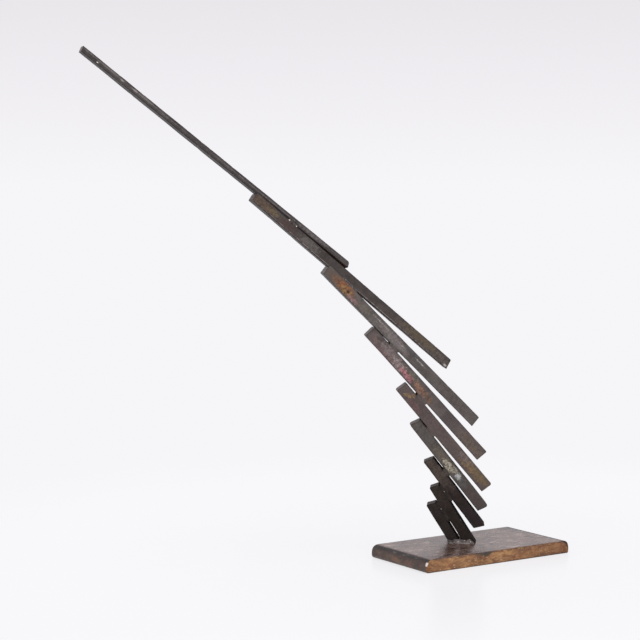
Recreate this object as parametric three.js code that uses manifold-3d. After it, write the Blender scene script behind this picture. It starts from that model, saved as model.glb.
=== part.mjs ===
// Welded steel sculpture: nine flat bars fanned out above a rectangular base plate.
// Millimetres, +Z up. The origin is the centre of the plate's underside, and X runs along its long side.
import * as THREE from "three";
import { mergeVertices } from "three/addons/utils/BufferGeometryUtils.js";
import Module from "manifold-3d";

// Base plate
const PLATE_LENGTH = 200;
const PLATE_WIDTH = 101;
const PLATE_THICKNESS = 14.5;
const PLATE_END_ROUND = 6.5;
const PLATE_CORNER_ROUND = 3;
const PLATE_EDGE_EASE = 0.8;

// Clear space left between neighbouring solids
const CLEARANCE = 0.3;

// Every bar's long edges are eased by this much
const BAR_EDGE_EASE = 0.5;

// Where the lowest bar's lower front edge reaches the top of the plate
const FOOT_X = -22.7;
const FOOT_Y = 10.1;

// The bars from the lowest up. Thickness is measured across the face seen from the front, depth from front
// to back, and length along the lower edge. The slope falls to the right, and heading turns the bar about Z.
// The cuts lean the end faces: positive puts the upper corner further down the bar than the lower one.
// The rounds are radii of worn corners: lower corner of the top end, upper corner of the bottom end.
// A seat says where the bar is welded on: its distance down the bar below, its distance down this bar and
// the gap between the two faces there. The fronts are flush at the seat.
const BARS = [
  {
    name: "bar_9_lowest", thickness: 10.4, depth: 20, length: 47.4, slope: 58, heading: -39.5,
    topCut: 17, bottomCut: null, topRound: 1.2, bottomRound: 0, seat: null,
  },
  {
    name: "bar_8", thickness: 10.8, depth: 20, length: 70.7, slope: 57.6, heading: -39.5,
    topCut: 13, bottomCut: null, topRound: 1.2, bottomRound: 0,
    seat: { below: 13.1, own: 27.8, gap: 3 },
  },
  {
    name: "bar_7", thickness: 11.4, depth: 20, length: 90.5, slope: 52.7, heading: -37,
    topCut: 17, bottomCut: 17, topRound: 0.8, bottomRound: 1.8,
    seat: { below: 12, own: 40.3, gap: 3.1 },
  },
  {
    name: "bar_6", thickness: 12, depth: 20, length: 120.7, slope: 51.6, heading: -33,
    topCut: 14.5, bottomCut: 11, topRound: 2.6, bottomRound: 2.2,
    seat: { below: 22.5, own: 65.2, gap: 2.8 },
  },
  {
    name: "bar_5", thickness: 13.5, depth: 20, length: 146.5, slope: 49.9, heading: -31,
    topCut: 4, bottomCut: 4, topRound: 1.5, bottomRound: 2.2,
    seat: { below: 18.3, own: 57.8, gap: 2.1 },
  },
  {
    name: "bar_4", thickness: 13.2, depth: 20, length: 185.9, slope: 48, heading: -28.5,
    topCut: -1.5, bottomCut: 2, topRound: 0.8, bottomRound: 0.8,
    seat: { below: 23.7, own: 93.3, gap: 2.6 },
  },
  {
    name: "bar_3", thickness: 11.6, depth: 20, length: 238.6, slope: 45.3, heading: -24.5,
    topCut: 0, bottomCut: -4, topRound: 0.8, bottomRound: 0.8,
    seat: { below: 29.7, own: 114.1, gap: 2.5 },
  },
  {
    name: "bar_2", thickness: 10.2, depth: 20, length: 285.5, slope: 40.4, heading: -21.5,
    topCut: -11, bottomCut: -8, topRound: 1.5, bottomRound: 0.8,
    seat: { below: 21.5, own: 133.7, gap: 0.35 },
  },
  {
    name: "bar_1_longest", thickness: 5.8, depth: 16, length: 369.4, slope: 38.2, heading: -17,
    topCut: -16, bottomCut: -18, topRound: 1, bottomRound: 2.5,
    seat: { below: 48.9, own: 290.6, gap: 0.4 },
  },
];

// Seam welds, each given by its stretch along the lower of its two bars. A filled seam is as deep as the
// bars. Where the bars all but touch, a low bead lies over the seam on the front, as wide and as proud as
// given.
const FILLED_SEAMS = [
  { name: "weld_8_9", lower: 0, from: 4, to: 22 },
  { name: "weld_7_8", lower: 1, from: 4, to: 20 },
  { name: "weld_6_7", lower: 2, from: 17, to: 28 },
  { name: "weld_5_6", lower: 3, from: 11, to: 25.5 },
  { name: "weld_4_5", lower: 4, from: 16, to: 31.5 },
  { name: "weld_3_4", lower: 5, from: 22.5, to: 37 },
];
const FRONT_BEADS = [
  { name: "weld_2_3", lower: 6, from: 14, to: 38, width: 5, proud: 1.6 },
  { name: "weld_1_2", lower: 7, from: 43, to: 55, width: 3.6, proud: 1.4 },
];
const SEAM_INSET = 0.4;
const SEAM_END_ROUND = 1.2;
const BEAD_SIDES = 16;

// Weld bead around the two feet, as level rings from the plate up: height above the plate, spread beyond
// the feet to the sides and to the front and back, and size of the lumps
const FOOT_WELD_RINGS = [
  { height: 0, side: 2.4, front: 4.8, lump: 0.4 },
  { height: 2.6, side: 1.6, front: 2.8, lump: 0.4 },
  { height: 4.6, side: 0.9, front: 1.1, lump: 0 },
];
const FOOT_WELD_POINTS = 48;
const FOOT_WELD_CORNER = 0.3;
const FOOT_WELD_LUMPS = 13;

// Steps in a rounded corner, and how close two corners are to count as one
const ROUND_STEPS = 4;
const SAME_POINT = 1e-4;

const wasm = await Module();
wasm.setup();

// A closed geometry as a solid that can be cut and joined
function toSolid(geometry) {
  const bare = geometry.index ? geometry.toNonIndexed() : geometry.clone();
  bare.deleteAttribute("normal");
  bare.deleteAttribute("uv");
  const merged = mergeVertices(bare, SAME_POINT);
  return new wasm.Manifold(new wasm.Mesh({
    numProp: 3,
    vertProperties: new Float32Array(merged.attributes.position.array),
    triVerts: new Uint32Array(merged.index.array),
  }));
}

function toGeometry(solid) {
  const mesh = solid.getMesh();
  const geometry = new THREE.BufferGeometry();
  geometry.setAttribute("position", new THREE.BufferAttribute(new Float32Array(mesh.vertProperties), 3));
  geometry.setIndex(new THREE.BufferAttribute(new Uint32Array(mesh.triVerts), 1));
  const faceted = geometry.toNonIndexed();
  faceted.computeVertexNormals();
  return faceted;
}

// Outline through the given corners, each rounded by its own radius
function roundedOutline(corners) {
  const points = [];
  corners.forEach((corner, i) => {
    const here = corner.at;
    if (corner.radius <= 0) {
      points.push(here);
      return;
    }
    const before = corners[(i + corners.length - 1) % corners.length].at;
    const after = corners[(i + 1) % corners.length].at;
    const toBefore = before.clone().sub(here).normalize();
    const toAfter = after.clone().sub(here).normalize();
    const half = toBefore.angleTo(toAfter) / 2;
    const start = here.clone().addScaledVector(toBefore, corner.radius / Math.tan(half));
    const end = here.clone().addScaledVector(toAfter, corner.radius / Math.tan(half));
    const arc = new THREE.QuadraticBezierCurve(start, here, end);
    points.push(...arc.getPoints(ROUND_STEPS));
  });
  return new THREE.Shape(points);
}

// A front outline in X and Z made solid from the front, Y = from, to the back, Y = to, with eased edges
function frontExtrusion(shape, from, to, ease) {
  const geometry = new THREE.ExtrudeGeometry(shape, {
    depth: to - from - 2 * ease,
    steps: 1,
    bevelEnabled: ease > 0,
    bevelSize: ease,
    bevelOffset: -ease,
    bevelThickness: ease,
    bevelSegments: 1,
  });
  geometry.translate(0, 0, ease);
  geometry.rotateX(Math.PI / 2);
  geometry.translate(0, to, 0);
  return geometry;
}

// A bar in its own frame: X down the bar from its top end, Y from front to back, Z up from its lower face.
// The two lowest bars have no bottom cut of their own: they end level with the plate.
function barShape(bar, grow) {
  const bottomCut = bar.bottomCut ?? 90 - bar.slope;
  const lean = (degrees, z) => z * Math.tan(THREE.MathUtils.degToRad(degrees));
  const low = -grow;
  const high = bar.thickness + grow;
  return roundedOutline([
    { at: new THREE.Vector2(lean(bar.topCut, low) - grow, low), radius: bar.topRound },
    { at: new THREE.Vector2(bar.length + lean(bottomCut, low) + grow, low), radius: 0 },
    { at: new THREE.Vector2(bar.length + lean(bottomCut, high) + grow, high), radius: bar.bottomRound },
    { at: new THREE.Vector2(lean(bar.topCut, high) - grow, high), radius: 0 },
  ]);
}

// Where the bar above dips below this bar's upper corner, that corner is dressed down to fit under it
function barGeometry(bar, above) {
  const geometry = frontExtrusion(barShape(bar, 0), 0, bar.depth, BAR_EDGE_EASE);
  if (!above) {
    return geometry;
  }
  const toOwn = bar.matrix.clone().invert();
  return toGeometry(toSolid(geometry).subtract(grownBar(above).transform(toOwn.toArray())));
}

// The bar with the clear space around it
function grownBar(bar) {
  return toSolid(frontExtrusion(barShape(bar, CLEARANCE), -CLEARANCE, bar.depth + CLEARANCE, 0))
    .transform(bar.matrix.toArray());
}

// Each bar's place follows from the seat on the bar below it; the lowest stands with its foot on the plate
function placeBars() {
  BARS.forEach((bar, i) => {
    const turn = new THREE.Matrix4().makeRotationZ(THREE.MathUtils.degToRad(bar.heading));
    turn.multiply(new THREE.Matrix4().makeRotationY(THREE.MathUtils.degToRad(bar.slope)));
    let own;
    let target;
    if (bar.seat) {
      const below = BARS[i - 1];
      own = new THREE.Vector3(bar.seat.own, 0, 0);
      target = new THREE.Vector3(bar.seat.below, 0, below.thickness + bar.seat.gap);
      target.applyMatrix4(below.matrix);
    } else {
      own = new THREE.Vector3(bar.length, 0, 0);
      target = new THREE.Vector3(FOOT_X, FOOT_Y, PLATE_THICKNESS + CLEARANCE);
    }
    bar.matrix = turn.clone().setPosition(target.sub(own.applyMatrix4(turn)));
    if (bar.seat && bar.bottomCut === null) {
      const end = new THREE.Vector3(0, 0, 0).applyMatrix4(bar.matrix).z - PLATE_THICKNESS - CLEARANCE;
      bar.length = end / Math.sin(THREE.MathUtils.degToRad(bar.slope));
    }
  });
}

function steel(colour, roughness, metalness) {
  return new THREE.MeshStandardMaterial({ color: colour, roughness, metalness });
}

// Plate: rounded along the top of both short ends, with eased long edges and rounded upright corners
function plateGeometry() {
  const halfLength = PLATE_LENGTH / 2;
  const halfWidth = PLATE_WIDTH / 2;
  const side = roundedOutline([
    { at: new THREE.Vector2(-halfLength, 0), radius: 0 },
    { at: new THREE.Vector2(halfLength, 0), radius: 0 },
    { at: new THREE.Vector2(halfLength, PLATE_THICKNESS), radius: PLATE_END_ROUND },
    { at: new THREE.Vector2(-halfLength, PLATE_THICKNESS), radius: PLATE_END_ROUND },
  ]);
  const corner = (x, y) => ({ at: new THREE.Vector2(x, y), radius: PLATE_CORNER_ROUND });
  const plan = roundedOutline([
    corner(-halfLength, -halfWidth),
    corner(halfLength, -halfWidth),
    corner(halfLength, halfWidth),
    corner(-halfLength, halfWidth),
  ]);
  const upright = new THREE.ExtrudeGeometry(plan, { depth: PLATE_THICKNESS, bevelEnabled: false });
  const long = frontExtrusion(side, -halfWidth, halfWidth, PLATE_EDGE_EASE);
  return toGeometry(toSolid(long).intersect(toSolid(upright)));
}

// Weld metal that fills the seam between two bars over a short stretch
function filledSeamGeometry(seam) {
  const lower = BARS[seam.lower];
  const upper = BARS[seam.lower + 1];
  const reach = lower.thickness + upper.seat.gap + upper.thickness / 2;
  const corner = (x, z) => ({ at: new THREE.Vector2(x, z), radius: SEAM_END_ROUND });
  const outline = roundedOutline([
    corner(seam.from, lower.thickness / 2),
    corner(seam.to, lower.thickness / 2),
    corner(seam.to, reach),
    corner(seam.from, reach),
  ]);
  const block = toSolid(frontExtrusion(outline, SEAM_INSET, lower.depth - SEAM_INSET, 0));
  const solid = block.transform(lower.matrix.toArray()).subtract(grownBar(lower)).subtract(grownBar(upper));
  return toGeometry(solid);
}

// Low bead over a closed seam: the front cap of a long ellipsoid, with its root in the seam
function frontBeadGeometry(seam) {
  const lower = BARS[seam.lower];
  const upper = BARS[seam.lower + 1];
  const geometry = new THREE.SphereGeometry(1, BEAD_SIDES, BEAD_SIDES / 2);
  geometry.rotateZ(Math.PI / 2);
  geometry.scale((seam.to - seam.from) / 2, seam.proud, seam.width / 2);
  geometry.translate((seam.from + seam.to) / 2, 0, lower.thickness + upper.seat.gap / 2);
  const solid = toSolid(geometry).transform(lower.matrix.toArray());
  return toGeometry(solid.subtract(grownBar(lower)).subtract(grownBar(upper)));
}

// One level ring of the foot weld: a rounded rectangle around the two feet, spread outwards and made lumpy.
// It follows the bars as they lean back to the left.
function footRing(level) {
  const first = BARS[0];
  const second = BARS[1];
  const slope = THREE.MathUtils.degToRad(first.slope);
  const halfWidth = (first.thickness + second.seat.gap + second.thickness) / Math.sin(slope) / 2;
  const halfDepth = first.depth / 2;
  const heading = THREE.MathUtils.degToRad(first.heading);
  const right = new THREE.Vector3(Math.cos(heading), Math.sin(heading), 0);
  const away = new THREE.Vector3(-Math.sin(heading), Math.cos(heading), 0);
  const centre = new THREE.Vector3(FOOT_X, FOOT_Y, PLATE_THICKNESS + CLEARANCE + level.height)
    .addScaledVector(right, halfWidth - level.height / Math.tan(slope))
    .addScaledVector(away, halfDepth);
  const square = (value) => Math.sign(value) * Math.abs(value) ** FOOT_WELD_CORNER;
  const ring = [];
  for (let i = 0; i < FOOT_WELD_POINTS; i += 1) {
    const angle = (2 * Math.PI * (i + 0.5)) / FOOT_WELD_POINTS;
    const lump = level.lump * Math.cos(FOOT_WELD_LUMPS * angle);
    ring.push(centre.clone()
      .addScaledVector(right, (halfWidth + level.side + lump) * square(Math.cos(angle)))
      .addScaledVector(away, (halfDepth + level.front + lump) * square(Math.sin(angle))));
  }
  return ring;
}

// Closed body through level rings, from the lowest up
function ringBody(rings) {
  const sides = rings[0].length;
  const points = rings.flat();
  const middle = (ring) => ring.reduce((sum, p) => sum.add(p), new THREE.Vector3()).divideScalar(sides);
  const low = points.length;
  const high = low + 1;
  points.push(middle(rings[0]), middle(rings[rings.length - 1]));
  const index = [];
  const top = (rings.length - 1) * sides;
  for (let i = 0; i < sides; i += 1) {
    const next = (i + 1) % sides;
    index.push(low, next, i, high, top + i, top + next);
    for (let level = 0; level < rings.length - 1; level += 1) {
      const a = level * sides;
      const b = a + sides;
      index.push(a + i, a + next, b + next, a + i, b + next, b + i);
    }
  }
  const geometry = new THREE.BufferGeometry().setFromPoints(points);
  geometry.setIndex(index);
  return geometry;
}

function footWeldGeometry() {
  const mound = ringBody(FOOT_WELD_RINGS.map(footRing));
  return toGeometry(toSolid(mound).subtract(grownBar(BARS[0])).subtract(grownBar(BARS[1])));
}

function addMesh(group, name, geometry, material) {
  const mesh = new THREE.Mesh(geometry, material);
  mesh.name = name;
  group.add(mesh);
  return mesh;
}

placeBars();
const sculpture = new THREE.Group();
addMesh(sculpture, "base_plate", plateGeometry(), steel(0x7d6a60, 0.45, 0.8));
BARS.forEach((bar, i) => {
  const mesh = addMesh(sculpture, bar.name, barGeometry(bar, BARS[i + 1]), steel(0x544c48, 0.5, 0.85));
  mesh.applyMatrix4(bar.matrix);
});
FILLED_SEAMS.forEach((seam) => {
  addMesh(sculpture, seam.name, filledSeamGeometry(seam), steel(0x5a524c, 0.55, 0.85));
});
FRONT_BEADS.forEach((seam) => {
  addMesh(sculpture, seam.name, frontBeadGeometry(seam), steel(0x5a524c, 0.55, 0.85));
});
addMesh(sculpture, "foot_weld", footWeldGeometry(), steel(0x6a6560, 0.6, 0.8));

export default sculpture;
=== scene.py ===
import math

import bpy
import numpy as np
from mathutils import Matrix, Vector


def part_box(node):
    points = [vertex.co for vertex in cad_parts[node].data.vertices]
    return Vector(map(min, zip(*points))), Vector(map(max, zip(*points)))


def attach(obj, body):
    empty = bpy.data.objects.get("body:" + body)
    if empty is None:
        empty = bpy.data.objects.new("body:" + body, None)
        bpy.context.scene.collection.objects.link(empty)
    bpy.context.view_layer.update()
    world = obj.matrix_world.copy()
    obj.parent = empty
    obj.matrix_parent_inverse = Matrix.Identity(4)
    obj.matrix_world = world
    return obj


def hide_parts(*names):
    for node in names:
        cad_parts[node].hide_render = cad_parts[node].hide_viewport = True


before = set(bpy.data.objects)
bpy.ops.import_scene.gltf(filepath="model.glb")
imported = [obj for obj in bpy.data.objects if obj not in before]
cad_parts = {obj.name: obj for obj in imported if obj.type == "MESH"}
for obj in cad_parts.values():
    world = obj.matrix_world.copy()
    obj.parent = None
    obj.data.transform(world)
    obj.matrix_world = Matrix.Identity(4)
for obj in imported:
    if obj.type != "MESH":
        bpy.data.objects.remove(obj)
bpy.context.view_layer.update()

# Welded steel sculpture: nine dark flat bars fanned out above a rusty rectangular plate.
# Lengths are in millimetres and become metres when a mesh is written. The camera, the lamps and the
# positions that a shader reads are in metres.
MM = 0.001

# Camera at the photograph's place and angle: metres, degrees and pixels
CAMERA_AT = (-1.23872, -1.56349, 0.41143)
CAMERA_TURN = 33.526
CAMERA_DOWN = 4.254
CAMERA_SIGHT = 50.0
FOCAL_PIXELS = 1800.0
HALF_IMAGE = 320.0

# Plate: the solid's size, with rough ends that make it a little longer and set it a little to the left
PLATE_LOW, PLATE_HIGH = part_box("base_plate")
SOLID_LENGTH, PLATE_WIDTH, PLATE_THICKNESS = [round(side / MM, 3) for side in PLATE_HIGH - PLATE_LOW]
PLATE_GROWTH = 0.6
PLATE_LENGTH = SOLID_LENGTH + PLATE_GROWTH
PLATE_SHIFT = -0.9
# Reach of the upper curve and radius of the lower edge of each short end
PLATE_LEFT_ROUNDS = (9.8, 4.2)
PLATE_RIGHT_ROUNDS = (8.8, 2.2)
PLATE_EDGE_ROUND = 0.9
# Rings of a long side as shares of its outline, rows as distances from it, and points along the outline
PLATE_RINGS = [0.15, 0.4, 0.65, 0.85, 0.94, 0.975, 0.99]
PLATE_ROWS = [1.3, 2, 3, 4.5, 6.5, 9, 12, 16, 22, 29, 37, 44]
PLATE_ARC_POINTS = 6
PLATE_COLUMNS = 80
END_ARC_POINTS, END_WALL_POINTS, END_CURVE_POINTS = 7, 5, 12
# Waves of the sawn long sides and of the short ends, how far in from the edges they reach, and the height
# over which they fade to none at the underside
SIDE_WAVE, SIDE_WAVE_LENGTH, SIDE_WAVE_REACH = 0.16, 34.0, 1.5
END_WAVE, END_WAVE_LENGTH, END_WAVE_REACH = 0.22, 22.0, 3.0
WAVE_FADE = 3.0
CHIP = np.array([-100.2, -50.3, 10.4])
CHIP_DEPTH = 0.8
CHIP_REACH = (math.sqrt(5.0), math.sqrt(5.0), 2.6)

# Bars from the lowest up, each in its own frame: x down the bar, y from front to back, z up from its
# lower face. What a bar leaves out is as in BAR_BASICS.
# thick, depth, length: its size. A bar without a length ends on the plate.
# slope, heading: how steeply it falls and how far it is turned about the upright, in degrees.
# seat: how far down the bar below and how far down this one the two meet, and the gap between them.
# top_cut, low_cut: lean of the end faces in degrees. A bar without a low_cut is cut level on the plate.
# top_add, low_add: how far the ends reach past those of the solid.
# top_round, ease, low_round: worn radius of the top end's lower and upper and the low end's upper corner.
# drop, roll: how far the lower face is let down, and how far it leans at the low end.
# head, reach: how far the upper face swells at the top end, and the stretch over which it does.
# lip, twist: how far the front is drawn forward at the top end, and how far the back hangs at the low end.
BAR_BASICS = dict(depth=20.0, length=None, seat=None, low_cut=None, low_add=0.0, low_round=0.0, ease=0.8,
                  roll=0.0, head=0.0, reach=30.0, lip=0.0, twist=0.0)
BARS = [dict(BAR_BASICS, **own_values) for own_values in (
    dict(name="bar_9_lowest", thick=10.5, length=47.4, slope=58.0, heading=-39.5,
         top_cut=17.0, top_add=2.2, top_round=1.6, drop=0.4),
    dict(name="bar_8", thick=10.8, slope=57.6, heading=-39.5, seat=(13.1, 27.8, 2.9),
         top_cut=13.0, top_add=2.2, top_round=1.6, drop=0.3),
    dict(name="bar_7", thick=11.4, length=90.5, slope=52.7, heading=-37.0, seat=(12.0, 40.3, 3.1),
         top_cut=17.0, top_add=2.2, top_round=1.4, low_cut=25.0, low_add=0.2, low_round=1.6, drop=0.5),
    dict(name="bar_6", thick=12.0, length=120.7, slope=51.6, heading=-33.0, seat=(22.5, 65.2, 2.8),
         top_cut=14.5, top_add=1.9, top_round=2.6, low_cut=14.0, low_add=0.3, low_round=3.2,
         drop=0.4, head=0.6),
    dict(name="bar_5", thick=13.5, length=146.5, slope=49.9, heading=-31.0, seat=(18.3, 57.8, 2.1),
         top_cut=4.0, top_add=1.7, top_round=2.0, ease=1.6, low_cut=4.0, low_round=2.4, drop=0.4),
    dict(name="bar_4", thick=13.2, length=185.9, slope=48.0, heading=-28.5, seat=(23.7, 93.3, 2.6),
         top_cut=-1.5, top_add=1.7, top_round=0.9, ease=2.0, low_cut=2.0, low_add=0.2, low_round=1.2,
         drop=0.4, roll=0.3, head=0.3),
    dict(name="bar_3", thick=11.6, length=238.6, slope=45.3, heading=-24.5, seat=(29.7, 114.1, 2.5),
         top_cut=-9.0, top_add=0.7, top_round=0.6, ease=2.4, low_cut=-6.0, low_add=1.2, low_round=0.9,
         drop=0.3, roll=0.9, head=0.7, reach=120.0, lip=2.6),
    dict(name="bar_2", thick=10.2, length=285.5, slope=40.4, heading=-21.5, seat=(21.5, 133.7, 0.35),
         top_cut=-8.0, top_add=1.8, top_round=0.5, ease=2.4, low_cut=-14.0, low_add=1.8, low_round=0.8,
         drop=0.6, roll=0.7, lip=4.2),
    dict(name="bar_1_longest", thick=5.8, depth=16.0, length=369.4, slope=38.2, heading=-17.0,
         seat=(48.9, 290.6, 0.4), top_cut=-16.0, top_add=1.4, top_round=0.3, ease=0.1,
         low_cut=-24.0, low_add=1.2, low_round=2.0, drop=0.3, twist=2.6),
)]
# Clear space between pieces, and where the lowest bar's front corner stands
CLEARANCE = 0.3
FOOT = np.array([-22.7, 10.1, PLATE_THICKNESS + CLEARANCE])
# Stretches over which a lip and a twist fade, and how far in front of the bar above a lip is free to rise
LIP_REACH = 60.0
LIP_GAP = 0.15
TWIST_REACH = 90.0

# Edges of the bars, the spacing of their points, and the rings of an end face as shares of the cross-section
BAR_EDGE = 0.55
ARC_POINTS = 5
RING_STEP = 1.4
RING_GUARD = 0.35
ROW_STEP = 2.0
ROW_GUARD = 0.002
END_RINGS = [0.2, 0.45, 0.7, 0.88, 0.965]
# Waves of the bars' faces, and nicks: their depth, spacing, reach from an edge and distance from the ends
WAVE_LENGTH = 42.0
WAVE_FRONT = 0.09
WAVE_FACE = 0.08
NICK_DEPTH = 0.45
NICK_SPACING = 9.0
NICK_REACH = 0.9
NICK_FREE_END = 6.0

# Seam welds: index of the lower bar, the stretch along it, and how much further up it runs at the back
SEAMS = [
    ("weld_8_9", 0, 0.8, 28.0, 0.0),
    ("weld_7_8", 1, 0.8, 24.0, 0.0),
    ("weld_6_7", 2, 17.0, 28.0, 0.0),
    ("weld_5_6", 3, 11.0, 25.5, 9.5),
    ("weld_4_5", 4, 16.0, 31.5, 0.0),
    ("weld_3_4", 5, 22.5, 37.0, 0.0),
]
# Ripple marks and unevenness with their lengths, then how far the metal stands out, sinks in and widens
SEAM_RIDGE, SEAM_RIDGE_PITCH = 0.07, 2.3
SEAM_UNEVEN, SEAM_UNEVEN_LENGTH = 0.10, 7.0
SEAM_PROUD = 0.12
SEAM_BITE = 0.25
SEAM_FLARE = 0.9
SEAM_SQUARE = 0.25
SEAM_ROWS, SEAM_COLUMNS = 49, 64
# Bead welds: index of the lower bar, the stretch along it, width, how far it stands proud, and droplets
# as x, z and radius
BEADS = [
    ("weld_2_3", 6, 14.0, 41.5, 5.0, 0.7, ()),
    ("weld_1_2", 7, 42.5, 55.5, 3.4, 1.0, ((43.6, 10.2, 1.3), (54.2, 10.2, 0.8))),
]
# Ripple marks and unevenness as shares of a bead's size, with their lengths
BEAD_RIDGE, BEAD_RIDGE_PITCH = 0.14, 2.1
BEAD_UNEVEN, BEAD_UNEVEN_LENGTH = 0.16, 6.0
BEAD_ROWS, BEAD_COLUMNS = 65, 40
# Where the last rows of points lie, as a share of half the weld's length, so that no row shrinks to a point
SEAM_END = 0.999
BEAD_END = 0.995

# Foot weld: height and lumps, how far it stands out from the bars and spreads at the sides and at front and
# back, how much slimmer its right is, and how far it sinks into the plate
FOOT_HEIGHT, FOOT_UNEVEN, FOOT_UNEVEN_LENGTH = 4.0, 0.9, 8.0
FOOT_LUMP, FOOT_LUMP_LENGTH = 0.6, 9.0
FOOT_KNOB, FOOT_KNOB_LENGTH = 0.45, 4.0
FOOT_PROUD = 0.5
FOOT_SIDE = 1.7
FOOT_FRONT = 2.6
FOOT_SLIM = 0.75
FOOT_SINK = 0.05
FOOT_SQUARE = 0.3
FOOT_ROWS, FOOT_COLUMNS = 14, 160
FOOT_UNDER_RINGS = [0.3, 0.7, 0.96]
FOOT_TOP_RINGS = [0.9, 0.6, 0.25]

RIPPLE_SINES = 6


# Shape helpers
def smooth(t):
    """Smooth step: 3t^2 - 2t^3 with t held between 0 and 1."""
    t = np.clip(t, 0.0, 1.0)
    return t * t * (3.0 - 2.0 * t)


def ripple(a, b, seed, wavelength):
    """Uneven waves, mostly between -1 and 1: the sum of sines of a and b over half their number, each with
    a direction, a phase and a stretch of the wavelength drawn from the seed."""
    draw = np.random.default_rng(seed)
    total = np.zeros(np.broadcast(a, b).shape)
    for _ in range(RIPPLE_SINES):
        turn, phase = draw.uniform(0, 2 * np.pi, 2)
        step = 2 * np.pi / (wavelength * draw.uniform(0.6, 1.7))
        total = total + np.sin(step * (a * np.cos(turn) + b * np.sin(turn)) + phase)
    return total / (RIPPLE_SINES / 2)


def squarish(angle, power):
    """Circle pressed towards a square: cosine and sine of the angle raised to a power, signs kept."""
    across, along = np.cos(angle), np.sin(angle)
    return np.sign(across) * np.abs(across) ** power, np.sign(along) * np.abs(along) ** power


def corner_cut(distance, radius):
    """How far a corner of radius r steps back at d from the side: r - sqrt(r^2 - (r - d)^2), 0 beyond r."""
    inside = np.clip(radius - distance, 0.0, radius)
    return radius - np.sqrt(np.maximum(radius * radius - inside * inside, 0.0))


def closing_rows(rings, radius, points):
    """Rows that close one end of a surface, from the middle of the end face out to the side: rings that
    keep a share of the cross-section, then a quarter circle of the radius. Gives each row's inset of the
    cross-section, its share and its distance from the end face."""
    turn = np.linspace(0, 0.5 * np.pi, points)
    flat = np.zeros(len(rings))
    inset = radius * (1 - np.concatenate([flat, np.sin(turn)]))
    share = np.concatenate([rings, np.ones(points)])
    distance = radius * (1 - np.concatenate([flat + 1, np.cos(turn)]))
    return inset, share, distance


def there_and_back(ends, between):
    """Values of one end's rows, of the rows between, and of the first end's rows in reverse."""
    return np.concatenate([ends, between, ends[::-1]])


def ring_faces(rows, columns):
    """Quads between neighbouring closed rows, and fans that close the first and last row to a pole."""
    column = np.arange(columns)
    following = (column + 1) % columns
    start = columns * np.arange(rows - 1)[:, None]
    beyond = start + columns
    quads = np.stack([start + column, start + following, beyond + following, beyond + column], -1)
    last = (rows - 1) * columns
    pole = rows * columns
    low = np.stack([np.full(columns, pole), following, column], -1)
    high = np.stack([np.full(columns, pole + 1), last + column, last + following], -1)
    return quads.reshape(-1, 4), np.concatenate([low, high])


def with_poles(grid):
    """Values on a grid of closed rows as one list, followed by the means of its first and last row."""
    return np.concatenate([grid.reshape(-1, *grid.shape[2:]), grid[:1].mean(1), grid[-1:].mean(1)])


def signed_volume(points, triangles):
    """Six times the volume inside triangles: the sum of a . (b x c) over their corners."""
    a, b, c = np.moveaxis(points[triangles], 1, 0)
    return np.einsum("ij,ij->i", a, np.cross(b, c)).sum()


def closed_piece(name, grid, **layers):
    """Mesh object from a grid of closed rows of points in mm, closed by a pole in the first and last row
    and turned so that its volume is positive. Layers give a number or a vector for each point and become
    attributes."""
    points = with_poles(grid)
    quads, fans = ring_faces(*grid.shape[:2])
    halves = np.concatenate([quads[:, [0, 1, 2]], quads[:, [0, 2, 3]], fans])
    if signed_volume(points, halves) < 0:
        quads, fans = quads[:, ::-1], fans[:, ::-1]
    loops = np.concatenate([quads.ravel(), fans.ravel()])
    starts = np.concatenate([np.arange(len(quads)) * 4, len(quads) * 4 + np.arange(len(fans)) * 3])
    mesh = bpy.data.meshes.new(name)
    mesh.vertices.add(len(points))
    mesh.vertices.foreach_set("co", (points * MM).astype(np.float32).ravel())
    mesh.loops.add(len(loops))
    mesh.loops.foreach_set("vertex_index", loops.astype(np.int32))
    mesh.polygons.add(len(starts))
    mesh.polygons.foreach_set("loop_start", starts.astype(np.int32))
    mesh.polygons.foreach_set("use_smooth", np.ones(len(starts), bool))
    mesh.update(calc_edges=True)
    for key, layer in layers.items():
        values = with_poles(layer).astype(np.float32)
        kind, field = ("FLOAT_VECTOR", "vector") if values.ndim == 2 else ("FLOAT", "value")
        mesh.attributes.new(key, kind, "POINT").data.foreach_set(field, values.ravel())
    mesh.validate()
    piece = bpy.data.objects.new(name, mesh)
    bpy.context.scene.collection.objects.link(piece)
    return piece


# Where the bars are
class Place:
    """A bar's own frame: x down the bar, y from front to back, z up from its lower face."""

    def __init__(self, bar, below):
        slope, heading = math.radians(bar["slope"]), math.radians(bar["heading"])
        up = np.array([0.0, 0.0, 1.0])
        self.thick = bar["thick"]
        self.right = np.array([math.cos(heading), math.sin(heading), 0.0])
        self.away = np.array([-math.sin(heading), math.cos(heading), 0.0])
        self.along = self.right * math.cos(slope) - up * math.sin(slope)
        self.over = self.right * math.sin(slope) + up * math.cos(slope)
        if below is None:
            self.origin = FOOT - self.along * bar["length"]
        else:
            down, own, gap = bar["seat"]
            self.origin = below.world(np.array([down, 0.0, below.thick + gap])) - self.along * own
        self.length = bar["length"] or (self.origin[2] - FOOT[2]) / math.sin(slope)

    def world(self, points):
        """Origin plus x, y and z times the three axes."""
        return self.origin + points @ np.stack([self.along, self.away, self.over])

    def ceiling(self, x, y, above):
        """Height z of the lower face of the bar above, over the points x, y of this bar."""
        lift = np.dot(self.origin - above.origin, above.over)
        lean = x * np.dot(self.along, above.over) + y * np.dot(self.away, above.over)
        return -(lift + lean) / np.dot(self.over, above.over)


PLACES = []
for next_bar in BARS:
    PLACES.append(Place(next_bar, PLACES[-1] if PLACES else None))


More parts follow.
